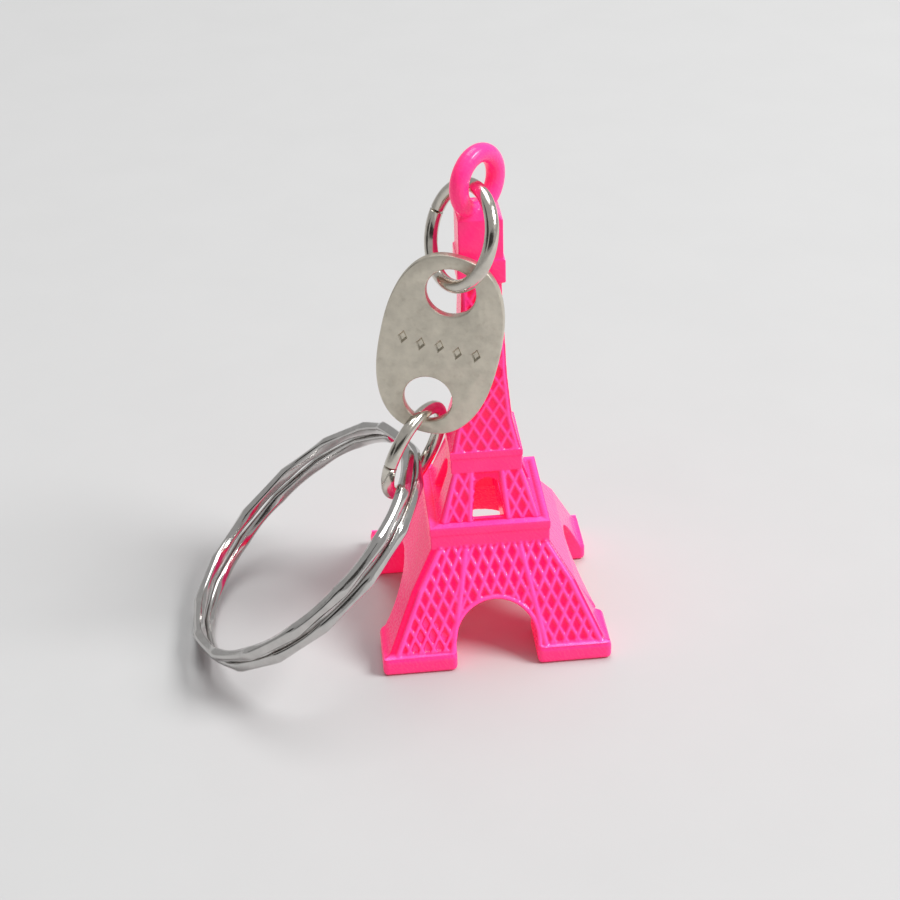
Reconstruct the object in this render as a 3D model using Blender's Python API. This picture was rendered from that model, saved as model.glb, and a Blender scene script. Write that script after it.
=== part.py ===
"""Keychain: a die-cast tower charm, two jump rings, an oval tag and a split ring.

The tower stands on the ground with its front towards -Y. The chain hangs from the eye on its top, down the
left of its front, and ends in the split ring, which leans with its far edge on the ground.
Metres, +Z up. The origin is on the ground, at the middle of the whole keychain's outline seen from above.
Inside the functions, places are measured from the middle of the tower's base, and the root empty moves them.
"""

import math

import bmesh
import bpy
from mathutils import Matrix, Vector

MM = 0.001

# Tower: widths of its square plan, from the ground up
BASE_WIDTH = 19.3 * MM
PLINTH_STEP = 0.5 * MM
KNEE_WIDTH = 13.8 * MM
DECK_WIDTH = 10.0 * MM
UPPER_LEGS_WIDTH = 8.4 * MM
UPPER_DECK_WIDTH = 5.9 * MM
UPPER_DECK_STEP = 0.15 * MM
SPIRE_FOOT_WIDTH = 5.7 * MM
SPIRE_KINK_WIDTH = 4.5 * MM
SPIRE_WAIST_WIDTH = 3.8 * MM
SPIRE_TOP_WIDTH = 3.2 * MM
COLLAR_WIDTH = 3.8 * MM
CAP_WIDTH = 3.5 * MM
CAP_CROWN_WIDTH = 2.2 * MM

# Tower: height of each level
PLINTH_HEIGHT = 1.65 * MM
LOWER_FLARE_HEIGHT = 4.85 * MM
UPPER_FLARE_HEIGHT = 2.9 * MM
DECK_HEIGHT = 2.0 * MM
UPPER_LEGS_HEIGHT = 4.0 * MM
UPPER_DECK_HEIGHT = 2.0 * MM
SPIRE_FOOT_HEIGHT = 2.6 * MM
SPIRE_WAIST_HEIGHT = 4.0 * MM
SPIRE_SHAFT_HEIGHT = 8.0 * MM
COLLAR_CHAMFER = 0.2 * MM
COLLAR_HEIGHT = 1.9 * MM
CAP_HEIGHT = 3.2 * MM
CAP_CROWN_HEIGHT = 0.75 * MM

# Tower: feet, arches and the gaps between the upper legs
FOOT_WIDTH = 6.25 * MM
FOOT_DEPTH = 5.0 * MM
FRONT_ARCH_SPRING = 2.2 * MM
FRONT_ARCH_CROWN = 5.5 * MM
SIDE_ARCH_SPRING = 1.8 * MM
SIDE_ARCH_CROWN = 6.2 * MM
UPPER_LEG_WIDTH = 2.8 * MM
UPPER_ARCH_NARROWING = 0.35 * MM
UPPER_ARCH_RISE = 0.8 * MM
UPPER_ARCH_LINTEL = 0.6 * MM
UPPER_ARCH_SILL = 0.15 * MM

# Tower: the hollow under the deck and the slot that joins it to the gap between the upper legs
HOLLOW_WALL = 1.2 * MM
HOLLOW_SIDE_SETBACK = 0.4 * MM
DECK_SLOT_SETBACK = 0.1 * MM
DECK_SLOT_SILL = 0.45 * MM

# Eye: a closed loop cast on the cap, upright and turned to the tower's corner
EYE_WIRE = 1.52 * MM
EYE_MEAN_RADIUS = 2.24 * MM
EYE_SINK = 1.2 * MM
EYE_TURN = math.radians(45)

# Jump rings
JUMP_WIRE = 1.1 * MM
JUMP_OUTER_DIAMETER = 9.0 * MM
JUMP_SLIT = 0.12 * MM
JUMP_SLIT_ANGLE = math.radians(80)

# Tag
TAG_LENGTH = 15.9 * MM
TAG_WIDTH = 9.7 * MM
TAG_THICKNESS = 0.8 * MM
TAG_SQUARENESS = 2.43
TAG_EDGE_ROUND = 0.12 * MM
TAG_HOLE_DIAMETER = 4.0 * MM
TAG_WEB = 1.1 * MM

# Split ring: two turns of flat wire
SPLIT_OUTER_DIAMETER = 25.0 * MM
SPLIT_WIRE_WIDTH = 1.0 * MM
SPLIT_WIRE_HEIGHT = 1.1 * MM
SPLIT_TURN_GAP = 0.1 * MM
SPLIT_EDGE_ROUND = 0.2 * MM
SPLIT_STEP_ANGLE = math.radians(24)
SPLIT_END_GAP_ANGLE = math.radians(2)
SPLIT_STEP_PLACE = math.radians(215)

# How the chain hangs: the eye's point that holds the first ring, each ring's axis and the way the tag faces
EYE_HOLD_ANGLE = math.radians(231.4)
UPPER_RING_AXIS = Vector((-0.842, -0.406, 0.355))
LOWER_RING_AXIS = Vector((0.784, -0.570, -0.247))
TAG_FRONT = Vector((-0.276, -0.960, 0.047))
SPLIT_LEAN_DIRECTION = Vector((1.0, -0.02, 0.0))

# From the upper deck's left front corner to the tag's lower web, seen from above, in jump ring radii
TAG_FOOT_STANDOFF = Vector((-0.477, 0.156, 0.0))

# Angles in a jump ring's plane, from its top, at which it holds its two neighbours
UPPER_RING_TO_EYE = math.radians(-8)
UPPER_RING_TO_TAG = math.radians(162)
LOWER_RING_TO_TAG = math.radians(9)
LOWER_RING_TO_SPLIT = math.radians(175)

# Room between a jump ring's wire and what it holds, along the ring's radius
EYE_LINK_ROOM = 0.53 * MM
UPPER_TAG_LINK_ROOM = 0.76 * MM
LOWER_TAG_LINK_ROOM = 0.24 * MM
SPLIT_LINK_ROOM = 0.95 * MM

# How finely round shapes are divided
ARCH_STEPS = 16
EYE_STEPS = 40
EYE_WIRE_STEPS = 16
JUMP_STEPS = 60
JUMP_WIRE_STEPS = 12
TAG_STEPS = 64
TAG_HOLE_STEPS = 32
SPLIT_STEPS_PER_TURN = 60
SHARP_ANGLE = math.radians(35)

UP = Vector((0.0, 0.0, 1.0))


def clear_scene():
    for obj in list(bpy.data.objects):
        bpy.data.objects.remove(obj, do_unlink=True)


def make_material(name, colour, roughness, metallic):
    material = bpy.data.materials.new(name)
    material.use_nodes = True
    shader = material.node_tree.nodes["Principled BSDF"]
    shader.inputs["Base Color"].default_value = (*colour, 1.0)
    shader.inputs["Roughness"].default_value = roughness
    shader.inputs["Metallic"].default_value = metallic
    return material


def make_object(name, bm, material=None):
    """The bmesh as an object, with its faces pointing out."""
    bmesh.ops.recalc_face_normals(bm, faces=bm.faces)
    mesh = bpy.data.meshes.new(name)
    bm.to_mesh(mesh)
    bm.free()
    if material:
        mesh.materials.append(material)
        mesh.shade_smooth()
        mesh.set_sharp_from_angle(angle=SHARP_ANGLE)
    obj = bpy.data.objects.new(name, mesh)
    bpy.context.collection.objects.link(obj)
    return obj


def place(obj, frame, parent=None, parent_frame=None):
    """Puts the object's own frame at frame, in world space, under its parent."""
    obj.parent = parent
    if parent:
        obj.matrix_parent_inverse = parent_frame.inverted()
    obj.matrix_basis = frame


def boolean(obj, other, operation):
    """Adds a Boolean with a helper object, which is left out of the model."""
    modifier = obj.modifiers.new(other.name, "BOOLEAN")
    modifier.operation = operation
    modifier.solver = "EXACT"
    modifier.object = other
    other.hide_render = True
    other.display_type = "WIRE"


def frame_from(x_axis, z_axis, origin):
    """A frame whose z is z_axis and whose x is as near x_axis as a right angle allows."""
    z = z_axis.normalized()
    x = (x_axis - x_axis.dot(z) * z).normalized()
    y = z.cross(x)
    return Matrix.Translation(origin) @ Matrix((x, y, z)).transposed().to_4x4()


def in_plane(frame, angle, distance):
    """The point at this angle and distance in a frame's xy plane, from its x axis towards -y."""
    return frame @ Vector((distance * math.cos(angle), -distance * math.sin(angle), 0.0))


def extrude_end(bm, face, move):
    """Extrudes one face and moves the new end with a matrix. Returns the new end face."""
    inside = any(len(edge.link_faces) > 1 for edge in face.edges)
    new = bmesh.ops.extrude_face_region(bm, geom=[face])["geom"]
    if inside:
        bmesh.ops.delete(bm, geom=[face], context="FACES_ONLY")
    verts = [item for item in new if isinstance(item, bmesh.types.BMVert)]
    bmesh.ops.transform(bm, matrix=move, verts=verts)
    return next(item for item in new if isinstance(item, bmesh.types.BMFace))


def tower_levels():
    """(height of the level, width at its top) from the ground up. A level of no height is a ledge."""
    return (
        (PLINTH_HEIGHT, BASE_WIDTH),
        (0.0, BASE_WIDTH - 2 * PLINTH_STEP),
        (LOWER_FLARE_HEIGHT, KNEE_WIDTH),
        (UPPER_FLARE_HEIGHT, DECK_WIDTH),
        (DECK_HEIGHT, DECK_WIDTH),
        (0.0, UPPER_LEGS_WIDTH),
        (UPPER_LEGS_HEIGHT, UPPER_DECK_WIDTH - 2 * UPPER_DECK_STEP),
        (0.0, UPPER_DECK_WIDTH),
        (UPPER_DECK_HEIGHT, UPPER_DECK_WIDTH),
        (0.0, SPIRE_FOOT_WIDTH),
        (SPIRE_FOOT_HEIGHT, SPIRE_KINK_WIDTH),
        (SPIRE_WAIST_HEIGHT, SPIRE_WAIST_WIDTH),
        (SPIRE_SHAFT_HEIGHT, SPIRE_TOP_WIDTH),
        (COLLAR_CHAMFER, COLLAR_WIDTH),
        (COLLAR_HEIGHT, COLLAR_WIDTH),
        (COLLAR_CHAMFER, CAP_WIDTH),
        (CAP_HEIGHT, CAP_WIDTH),
        (CAP_CROWN_HEIGHT, CAP_CROWN_WIDTH),
    )


def tower_height():
    return sum(height for height, _ in tower_levels())


def deck_top():
    return PLINTH_HEIGHT + LOWER_FLARE_HEIGHT + UPPER_FLARE_HEIGHT + DECK_HEIGHT


def square_shaft():
    """The tower's solid outer form: one square, extruded level by level."""
    bm = bmesh.new()
    bmesh.ops.create_grid(bm, x_segments=1, y_segments=1, size=BASE_WIDTH / 2)
    face = bm.faces[:][0]
    height, width = 0.0, BASE_WIDTH
    for rise, top_width in tower_levels():
        share = top_width / width
        height += rise
        move = Matrix.Diagonal((share, share, 1.0, 1.0))
        face = extrude_end(bm, face, Matrix.Translation((0.0, 0.0, rise)) @ move)
        width = top_width
    return bm


def arch_tunnel(name, foot_half, spring_half, levels, length, along_x=False):
    """A cutter with an arched top, run along Y or X. levels are the heights of its floor, spring and crown."""
    floor, spring, crown = levels
    outline = [(foot_half, floor)]
    for step in range(ARCH_STEPS + 1):
        angle = math.pi * step / ARCH_STEPS
        outline.append((spring_half * math.cos(angle), spring + (crown - spring) * math.sin(angle)))
    outline.append((-foot_half, floor))
    bm = bmesh.new()
    face = bm.faces.new([bm.verts.new((across, -length / 2, height)) for across, height in outline])
    extrude_end(bm, face, Matrix.Translation((0.0, length, 0.0)))
    if along_x:
        bmesh.ops.rotate(bm, verts=bm.verts, matrix=Matrix.Rotation(math.pi / 2, 3, "Z"))
    return make_object(name, bm)


def hollow():
    """The cutter under the deck: as wide as the front arch's feet allow, with walls that follow the flare."""
    top = PLINTH_HEIGHT + LOWER_FLARE_HEIGHT + UPPER_FLARE_HEIGHT
    half_width = BASE_WIDTH / 2 - FOOT_WIDTH - HOLLOW_SIDE_SETBACK
    half_lengths = {-1: BASE_WIDTH / 2 - PLINTH_STEP - HOLLOW_WALL, 1: DECK_WIDTH / 2 - HOLLOW_WALL}
    heights = {-1: FRONT_ARCH_SPRING, 1: top}
    bm = bmesh.new()
    bmesh.ops.create_cube(bm, size=2.0)
    for vert in bm.verts:
        end = round(vert.co.z)
        vert.co = (vert.co.x * half_width, vert.co.y * half_lengths[end], heights[end])
    return make_object("hollow", bm)


def deck_slot():
    """The cutter through the deck between the upper legs, which leaves a sill at the front and back."""
    half_width = UPPER_LEGS_WIDTH / 2 - UPPER_LEG_WIDTH - DECK_SLOT_SETBACK
    half_length = UPPER_LEGS_WIDTH / 2 - DECK_SLOT_SILL
    bm = bmesh.new()
    bmesh.ops.create_cube(bm, size=2.0)
    bmesh.ops.scale(bm, verts=bm.verts, vec=(half_width, half_length, DECK_HEIGHT))
    bmesh.ops.translate(bm, verts=bm.verts, vec=(0.0, 0.0, deck_top() + UPPER_ARCH_RISE - DECK_HEIGHT))
    return make_object("deck_slot", bm)


def eye_centre():
    return Vector((0.0, 0.0, tower_height() - EYE_SINK + EYE_WIRE / 2 + EYE_MEAN_RADIUS))


def eye_frame():
    """The eye's plane is xy here: x points level to the tower's corner and y points up."""
    across = Vector((math.cos(EYE_TURN), math.sin(EYE_TURN), 0.0))
    return frame_from(across, across.cross(UP), eye_centre())


def eye_loop():
    bm = bmesh.new()
    bmesh.ops.create_circle(bm, segments=EYE_WIRE_STEPS, radius=EYE_WIRE / 2)
    upright = Matrix.Rotation(math.pi / 2, 4, "X")
    bmesh.ops.transform(bm, matrix=Matrix.Translation((EYE_MEAN_RADIUS, 0.0, 0.0)) @ upright, verts=bm.verts)
    bmesh.ops.spin(
        bm, geom=bm.verts[:] + bm.edges[:], axis=UP, angle=2 * math.pi, steps=EYE_STEPS, use_merge=True
    )
    return bm


def make_tower(material):
    tower = make_object("tower", square_shaft(), material)
    eye = make_object("eye_loop", eye_loop())
    place(eye, eye_frame(), tower, Matrix.Identity(4))
    boolean(tower, eye, "UNION")
    through = 1.5 * BASE_WIDTH
    front_half = BASE_WIDTH / 2 - FOOT_WIDTH
    side_half = BASE_WIDTH / 2 - FOOT_DEPTH
    front_levels = (-PLINTH_HEIGHT, FRONT_ARCH_SPRING, FRONT_ARCH_CROWN)
    side_levels = (-PLINTH_HEIGHT, SIDE_ARCH_SPRING, SIDE_ARCH_CROWN)
    upper_half = UPPER_LEGS_WIDTH / 2 - UPPER_LEG_WIDTH
    upper_crown = deck_top() + UPPER_LEGS_HEIGHT - UPPER_ARCH_LINTEL
    upper_levels = (deck_top() + UPPER_ARCH_SILL, upper_crown - UPPER_ARCH_RISE, upper_crown)
    upper_spring_half = upper_half - UPPER_ARCH_NARROWING
    cutters = (
        arch_tunnel("front_arch", front_half, front_half, front_levels, through),
        arch_tunnel("side_arch", side_half, side_half, side_levels, through, along_x=True),
        arch_tunnel("upper_front_arch", upper_half, upper_spring_half, upper_levels, through),
        arch_tunnel("upper_side_arch", upper_half, upper_spring_half, upper_levels, through, along_x=True),
        hollow(),
        deck_slot(),
    )
    for cutter in cutters:
        place(cutter, Matrix.Identity(4), tower, Matrix.Identity(4))
        boolean(tower, cutter, "DIFFERENCE")
    return tower


def jump_mean_radius():
    return (JUMP_OUTER_DIAMETER - JUMP_WIRE) / 2


def jump_ring(centre):
    """A round-wire ring about z, with its middle at centre. The slit is where its wire's two ends meet."""
    slit = JUMP_SLIT / jump_mean_radius()
    bm = bmesh.new()
    bmesh.ops.create_circle(bm, cap_ends=True, segments=JUMP_WIRE_STEPS, radius=JUMP_WIRE / 2)
    upright = Matrix.Rotation(math.pi / 2, 4, "X")
    bmesh.ops.transform(bm, matrix=Matrix.Translation((jump_mean_radius(), 0.0, 0.0)) @ upright, verts=bm.verts)
    start = Matrix.Rotation(JUMP_SLIT_ANGLE + slit / 2, 4, "Z")
    bmesh.ops.transform(bm, matrix=start, verts=bm.verts)
    step = Matrix.Rotation((2 * math.pi - slit) / JUMP_STEPS, 4, "Z")
    face = bm.faces[:][0]
    for _ in range(JUMP_STEPS):
        face = extrude_end(bm, face, step)
    bmesh.ops.translate(bm, verts=bm.verts, vec=centre)
    return bm


def tag_web_offset():
    """From the tag's middle to the middle of the web between a hole and the tag's end."""
    return (TAG_LENGTH - TAG_WEB) / 2


def tag_hole_offset():
    return TAG_LENGTH / 2 - TAG_WEB - TAG_HOLE_DIAMETER / 2


def superellipse(angle):
    """The point of the tag's outline at this angle: x across the tag and y along it."""
    power = 2 / TAG_SQUARENESS
    across = math.copysign(abs(math.cos(angle)) ** power, math.cos(angle))
    along = math.copysign(abs(math.sin(angle)) ** power, math.sin(angle))
    return TAG_WIDTH / 2 * across, TAG_LENGTH / 2 * along


def tag_plate(middle):
    """The tag's plate without its holes: x across, y along and z out of its front."""
    bm = bmesh.new()
    bmesh.ops.create_circle(bm, cap_ends=True, segments=TAG_STEPS, radius=1.0)
    for vert in bm.verts:
        vert.co.x, vert.co.y = superellipse(math.atan2(vert.co.y, vert.co.x))
        vert.co.z = -TAG_THICKNESS / 2
    extrude_end(bm, bm.faces[:][0], Matrix.Translation((0.0, 0.0, TAG_THICKNESS)))
    bmesh.ops.recalc_face_normals(bm, faces=bm.faces)
    rims = [edge for edge in bm.edges if abs(edge.verts[0].co.z - edge.verts[1].co.z) < TAG_THICKNESS / 2]
    bmesh.ops.bevel(
        bm, geom=rims, offset=TAG_EDGE_ROUND, segments=1, profile=0.5, affect="EDGES", material=-1
    )
    bmesh.ops.translate(bm, verts=bm.verts, vec=middle)
    return bm


def make_tag(material, frame, middle):
    tag = make_object("tag", tag_plate(middle), material)
    for end, name in ((1, "upper_hole"), (-1, "lower_hole")):
        bm = bmesh.new()
        radius = TAG_HOLE_DIAMETER / 2
        bmesh.ops.create_cone(
            bm, cap_ends=True, segments=TAG_HOLE_STEPS, radius1=radius, radius2=radius, depth=3 * TAG_THICKNESS
        )
        hole = middle + Vector((0.0, end * tag_hole_offset(), 0.0))
        bmesh.ops.translate(bm, verts=bm.verts, vec=hole)
        cutter = make_object(name, bm)
        place(cutter, frame, tag, frame)
        boolean(tag, cutter, "DIFFERENCE")
    return tag


def split_thickness():
    return 2 * SPLIT_WIRE_HEIGHT + SPLIT_TURN_GAP


def split_mean_radius():
    return (SPLIT_OUTER_DIAMETER - SPLIT_WIRE_WIDTH) / 2


def split_level(turned):
    """Height of the wire's middle after it has turned by this angle from its start: one smooth step between turns."""
    pitch = SPLIT_WIRE_HEIGHT + SPLIT_TURN_GAP
    done = 2 * math.pi - SPLIT_END_GAP_ANGLE - turned
    share = min(max(1 - done / SPLIT_STEP_ANGLE, 0.0), 1.0)
    return pitch * (share * share * (3 - 2 * share) - 0.5)


def split_sweep():
    """The whole angle through which the wire turns: two turns, less the step that both its ends stop short of."""
    return 4 * math.pi - SPLIT_STEP_ANGLE - 2 * SPLIT_END_GAP_ANGLE


def split_ring(centre):
    """Two flat turns about z, joined by a step, with their middle at centre."""
    bm = bmesh.new()
    bmesh.ops.create_grid(bm, x_segments=1, y_segments=1, size=0.5)
    bmesh.ops.scale(bm, verts=bm.verts, vec=(SPLIT_WIRE_WIDTH, SPLIT_WIRE_HEIGHT, 1.0))
    bmesh.ops.bevel(
        bm, geom=bm.verts[:], offset=SPLIT_EDGE_ROUND, segments=1, profile=0.5, affect="VERTICES", material=-1
    )
    upright = Matrix.Rotation(math.pi / 2, 4, "X")
    outwards = Matrix.Translation((split_mean_radius(), 0.0, split_level(0.0)))
    start = Matrix.Rotation(SPLIT_STEP_PLACE, 4, "Z")
    bmesh.ops.transform(bm, matrix=start @ outwards @ upright, verts=bm.verts)
    steps = round(split_sweep() / (2 * math.pi) * SPLIT_STEPS_PER_TURN)
    turn = split_sweep() / steps
    face = bm.faces[:][0]
    for step in range(steps):
        rise = split_level((step + 1) * turn) - split_level(step * turn)
        face = extrude_end(bm, face, Matrix.Translation((0.0, 0.0, rise)) @ Matrix.Rotation(turn, 4, "Z"))
    bmesh.ops.translate(bm, verts=bm.verts, vec=centre)
    return bm


def lean_onto(corner, hold_height):
    """The slope that brings a corner, so far along and below the ring's plane from its hold, to the ground."""
    along, below = corner
    return math.asin(hold_height / math.hypot(along, below)) - math.atan2(below, along)


def split_lean(hold_height):
    """The slope at which the ring, held at this height on its mean radius, first touches the ground."""
    reach = split_mean_radius() + SPLIT_OUTER_DIAMETER / 2
    edge = split_thickness() / 2
    corners = ((reach - SPLIT_EDGE_ROUND, edge), (reach, edge - SPLIT_EDGE_ROUND))
    return min(lean_onto(corner, hold_height) for corner in corners)


def tag_rise(upper_web):
    """From the tag's lower web to its upper one: the lower web stands clear of the upper deck's corner."""
    corner = Vector((-UPPER_DECK_WIDTH / 2, -UPPER_DECK_WIDTH / 2, upper_web.z))
    level = upper_web - corner - JUMP_OUTER_DIAMETER / 2 * TAG_FOOT_STANDOFF
    return level + UP * math.sqrt((TAG_LENGTH - TAG_WEB) ** 2 - level.length_squared)


def chain_frames():
    """Each hanging piece's frame, with its middle as origin, and the point at which its joint holds it."""
    eye_reach = jump_mean_radius() - (EYE_WIRE + JUMP_WIRE) / 2 - EYE_LINK_ROOM
    upper_tag_reach = jump_mean_radius() - (TAG_WEB + JUMP_WIRE) / 2 - UPPER_TAG_LINK_ROOM
    lower_tag_reach = jump_mean_radius() - (TAG_WEB + JUMP_WIRE) / 2 - LOWER_TAG_LINK_ROOM
    split_reach = jump_mean_radius() - (split_thickness() + JUMP_WIRE) / 2 - SPLIT_LINK_ROOM
    eye_hold = in_plane(eye_frame(), -EYE_HOLD_ANGLE, EYE_MEAN_RADIUS)
    upper = frame_from(UP, UPPER_RING_AXIS, eye_hold)
    upper.translation = in_plane(upper, UPPER_RING_TO_EYE + math.pi, eye_reach)
    upper_web = in_plane(upper, UPPER_RING_TO_TAG, upper_tag_reach)
    rising = frame_from(TAG_FRONT, tag_rise(upper_web), upper_web)
    tag = rising @ Matrix(((0, 0, 1), (1, 0, 0), (0, 1, 0))).to_4x4()
    tag.translation = tag @ Vector((0.0, -tag_web_offset(), 0.0))
    lower_web = tag @ Vector((0.0, -tag_web_offset(), 0.0))
    lower = frame_from(UP, LOWER_RING_AXIS, lower_web)
    lower.translation = in_plane(lower, LOWER_RING_TO_TAG + math.pi, lower_tag_reach)
    split_hold = in_plane(lower, LOWER_RING_TO_SPLIT, split_reach)
    lean = split_lean(split_hold.z)
    level = SPLIT_LEAN_DIRECTION.normalized()
    uphill = level * math.cos(lean) + UP * math.sin(lean)
    split = frame_from(uphill, UP * math.cos(lean) - level * math.sin(lean), split_hold)
    split.translation = split_hold - split_mean_radius() * uphill
    return (upper, eye_hold), (tag, upper_web), (lower, lower_web), (split, split_hold)


def middle_seen_from_above(objects):
    """The middle of the box round these objects, on the ground."""
    bpy.context.view_layer.update()
    graph = bpy.context.evaluated_depsgraph_get()
    corners = []
    for obj in objects:
        mesh = obj.evaluated_get(graph).to_mesh()
        corners += [obj.matrix_world @ vert.co for vert in mesh.vertices]
    low = [min(corner[axis] for corner in corners) for axis in (0, 1)]
    high = [max(corner[axis] for corner in corners) for axis in (0, 1)]
    return Vector(((low[0] + high[0]) / 2, (low[1] + high[1]) / 2, 0.0))


def at_hold(frame, hold):
    """The frame moved to its holding point, and the piece's middle as seen from there."""
    moved = frame.copy()
    moved.translation = hold
    return moved, moved.inverted() @ frame.translation


def main():
    clear_scene()
    enamel = make_material("pink_enamel", (0.95, 0.03, 0.22), 0.35, 0.0)
    bright_nickel = make_material("bright_nickel", (0.74, 0.71, 0.66), 0.2, 1.0)
    satin_nickel = make_material("satin_nickel", (0.5, 0.47, 0.41), 0.45, 1.0)
    polished_nickel = make_material("polished_nickel", (0.78, 0.77, 0.74), 0.15, 1.0)
    ground = Matrix.Identity(4)
    root = bpy.data.objects.new("keychain", None)
    bpy.context.collection.objects.link(root)
    upper, tag, lower, split = (at_hold(*piece) for piece in chain_frames())
    tower = make_tower(enamel)
    upper_ring = make_object("upper_jump_ring", jump_ring(upper[1]), bright_nickel)
    plate = make_tag(satin_nickel, *tag)
    lower_ring = make_object("lower_jump_ring", jump_ring(lower[1]), bright_nickel)
    key_ring = make_object("split_ring", split_ring(split[1]), polished_nickel)
    place(tower, ground, root, ground)
    place(upper_ring, upper[0], tower, ground)
    place(plate, tag[0], upper_ring, upper[0])
    place(lower_ring, lower[0], plate, tag[0])
    place(key_ring, split[0], lower_ring, lower[0])
    root.location = -middle_seen_from_above((tower, key_ring))


main()
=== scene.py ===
import math

import bmesh
import bpy
from bpy.props import FloatProperty, FloatVectorProperty, IntProperty, PointerProperty
from mathutils import Matrix, Vector


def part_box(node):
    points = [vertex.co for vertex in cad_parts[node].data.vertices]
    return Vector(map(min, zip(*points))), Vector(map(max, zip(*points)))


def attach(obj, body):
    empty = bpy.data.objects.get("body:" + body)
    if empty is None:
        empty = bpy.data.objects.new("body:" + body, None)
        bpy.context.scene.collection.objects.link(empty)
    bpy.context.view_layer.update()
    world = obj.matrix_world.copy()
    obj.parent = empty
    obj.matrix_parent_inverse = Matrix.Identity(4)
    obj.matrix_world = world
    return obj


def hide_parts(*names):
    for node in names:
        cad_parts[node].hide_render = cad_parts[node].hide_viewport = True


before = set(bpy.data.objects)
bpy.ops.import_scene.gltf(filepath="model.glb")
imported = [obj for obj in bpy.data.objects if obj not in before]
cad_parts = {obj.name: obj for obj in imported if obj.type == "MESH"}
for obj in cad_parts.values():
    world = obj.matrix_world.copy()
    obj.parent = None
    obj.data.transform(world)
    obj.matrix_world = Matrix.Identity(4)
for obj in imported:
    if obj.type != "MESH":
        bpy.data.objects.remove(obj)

bl_info = {
    "name": "Keychain",
    "version": (1, 0, 0),
    "blender": (4, 5, 0),
    "location": "3D View > Sidebar > Keychain",
    "description": "Builds a tower charm on jump rings with an oval tag and a split ring",
    "category": "Object",
}

# The tower's shape is worked out in millimetres, from the middle of its base on the ground.
# Its front faces -Y.
MM = 0.001
UP = Vector((0.0, 0.0, 1.0))
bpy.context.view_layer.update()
BASE_LOW, BASE_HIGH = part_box("tower")
TOWER_MIDDLE = Vector(((BASE_LOW.x + BASE_HIGH.x) / 2, (BASE_LOW.y + BASE_HIGH.y) / 2, 0.0))

# Half widths of the tower's front at these heights
LOWER_FACE = ((1.65, 9.15), (6.5, 6.9), (9.4, 5.0))
UPPER_FACE = ((11.4, 4.2), (15.4, 2.8))
SPIRE_FACE = ((17.4, 2.85), (20.0, 2.25), (24.0, 1.9), (32.0, 1.6))
DECK_TOP = 11.4
PLINTH_TOP = 1.65

# The tower is cut just above its deck, and the upper skin reaches this far into the lower one
CUT_ABOVE_DECK, UPPER_SKIN_SINK = 0.02, 0.4

# The decks' lips: half width, underside and top
DECK_LIP = (5.07, 10.7, DECK_TOP)
UPPER_DECK_LIP = (3.02, 16.8, 17.4)
LIP_THICKNESS = 0.4

# How the painted shade tells ribs from hollows, a darker red in the hollows and a lighter pink on the ribs:
# the share of plain faces, the face's tolerance and a rib's height
PLAIN_SHARE, FACE_MARGIN, RIB_REACH = 0.5, 0.05, 0.14

# The front arch: half width, height of its spring and of its crown
ARCH_HALF, ARCH_SPRING, ARCH_CROWN = 3.4, 2.2, 5.5

# The cast pattern: its offset to the right of the middle and the outer ribs' distance from the edge
PATTERN_SHIFT = 0.17
OUTER_RIB_INSET = 0.62
UPPER_RIB_INSETS = (0.3, 0.15)
SPIRE_RIB_INSET = 0.3

# The lower inner ribs: half spacing at a height, and how much it grows with each millimetre down
INNER_RIB_HALF, INNER_RIB_HEIGHT, INNER_RIB_SPREAD = 2.33, 9.1, 0.218

# Half width of the upper opening at its foot and its top, and the inner ribs' distance from it
UPPER_INNER_FOOT, UPPER_INNER_TOP = 1.43, 1.03
UPPER_INNER_GAPS = (0.2, 0.24)

# The arch's rim: radius, the lattice's distance from the arch, and the number of straight bars
RIM_RADIUS, RIM_ROOM, RIM_BARS = 0.2, 0.42, 36

# The lattices: a node (across, height), and the upper ones' pitch and half rise
LOWER_NODE = (-0.3, 2.1)
UPPER_LATTICE = (1.05, 1.0, (2.24, 14.36))
SPIRE_LATTICE = (1.1, 0.92, (0.64, 18.62))

# The ribs along the plinth's top: from the outer end to the arch, and their height above the plinth
FOOT_RIBS = ((-8.4, -ARCH_HALF - 0.4), (8.6, ARCH_HALF + 0.4))
FOOT_RIB_RISE, FOOT_RIB_SINK = 0.1, 0.05

# A thick rib's axis lies under the face by this share of its radius
SINK_SHARE = 0.1

# Lattice ribs that rise less than this are left out
SHORTEST_RIB = 0.15


def polyline(knots, height):
    """The value at this height of a line drawn through (height, value) knots."""
    for (low, start), (high, end) in zip(knots, knots[1:]):
        if height <= high:
            return start + (end - start) * max(height - low, 0.0) / (high - low)
    return knots[-1][1]


def ease(share):
    """A smooth step from 0 to 1, flat outside."""
    share = min(max(share, 0.0), 1.0)
    return share * share * (3 - 2 * share)


# ---------------------------------------------------------------- materials


def node(tree, kind, links=None, **settings):
    """A new node. links sets or joins its inputs by name or number, and settings its own properties."""
    made = tree.nodes.new(kind)
    for key, value in settings.items():
        setattr(made, key, value)
    for socket, value in (links or {}).items():
        if isinstance(value, bpy.types.NodeSocket):
            tree.links.new(value, made.inputs[socket])
        else:
            made.inputs[socket].default_value = value
    return made


def group_tree(name, inputs, outputs):
    """An empty shader node group with these float or colour sockets, and its two end nodes."""
    tree = bpy.data.node_groups.new(name, "ShaderNodeTree")
    for label, default in inputs:
        kind = "NodeSocketColor" if isinstance(default, tuple) else "NodeSocketFloat"
        tree.interface.new_socket(label, in_out="INPUT", socket_type=kind).default_value = default
    for label, kind in outputs:
        tree.interface.new_socket(label, in_out="OUTPUT", socket_type=kind)
    return tree, tree.nodes.new("NodeGroupInput").outputs, tree.nodes.new("NodeGroupOutput").inputs


def per_millimetre(tree, size):
    """The texture scale that gives details of this size in millimetres."""
    return node(tree, "ShaderNodeMath", {0: 1 / MM, 1: size}, operation="DIVIDE").outputs[0]


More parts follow.
